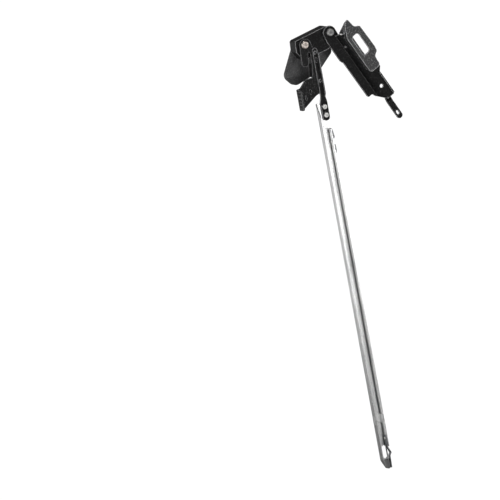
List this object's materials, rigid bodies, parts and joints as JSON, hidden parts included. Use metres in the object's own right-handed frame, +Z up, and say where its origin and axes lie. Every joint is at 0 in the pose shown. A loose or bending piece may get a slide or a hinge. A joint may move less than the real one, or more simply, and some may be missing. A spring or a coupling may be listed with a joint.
{
  "type": "friction pivot hinge with stay rail",
  "caption": "Riveted friction hinge for a top-hung window: bracket with finger loop, gooseneck link, and arm with a long zinc-plated channel rail.",
  "frame": {"origin": "centre of the bracket's fixing hole at the back face of the base plate", "axes": "+Z up along the rail at rest, +Y through the fixing hole out of the bracket's back, +X from the rail towards the bracket"},
  "size_m": [0.186, 0.0595, 0.7744],
  "materials": {
    "black_steel": "satin",
    "cover_shell": "satin",
    "zinc_rail": "brushed",
    "plated_rivet": "satin",
    "warm_rivet": "satin",
    "black_rivet": "satin",
    "bronze_bush": "satin",
    "friction_pad": "matte",
    "spring_steel": "satin",
    "dark_plastic": "matte"
  },
  "bodies": {
    "frame_bracket_body": {"frame_bracket": "black_steel", "finger_pull": "black_steel", "pull_rivets": "black_rivet", "outer_bush": "bronze_bush"},
    "link_body": {"link_channel": "black_steel", "link_cover": "cover_shell", "cover_screws": "plated_rivet", "inner_friction_washer": "friction_pad", "inner_back_washer": "plated_rivet", "inner_disc_spring": "spring_steel", "inner_pivot_rivet": "warm_rivet", "outer_friction_washer": "friction_pad", "outer_back_washer": "plated_rivet", "outer_disc_spring": "spring_steel", "outer_pivot_rivet": "plated_rivet"},
    "arm_body": {"arm_plate": "black_steel", "end_catch": "spring_steel", "end_catch_rivet": "plated_rivet", "end_shoe": "dark_plastic", "inner_bush": "bronze_bush", "lift_strap": "black_steel", "rail": "zinc_rail", "strap_plate_rivets": "black_rivet", "strap_rail_rivets": "plated_rivet", "travel_stop": "zinc_rail", "upper_catch": "spring_steel", "upper_catch_rivet": "plated_rivet"}
  },
  "joints": [
    {"name": "outer_pivot", "type": "hinge", "parent": "frame_bracket_body", "child": "link_body", "pos_m": [-0.07275, 0.0095, 0.1106], "axis": [0, 1, 0], "range_deg": [-15, 40]},
    {"name": "inner_pivot", "type": "hinge", "parent": "link_body", "child": "arm_body", "pos_m": [-0.12394, 0.0095, 0.10038], "axis": [0, 1, 0], "range_deg": [-10, 75]}
  ]
}
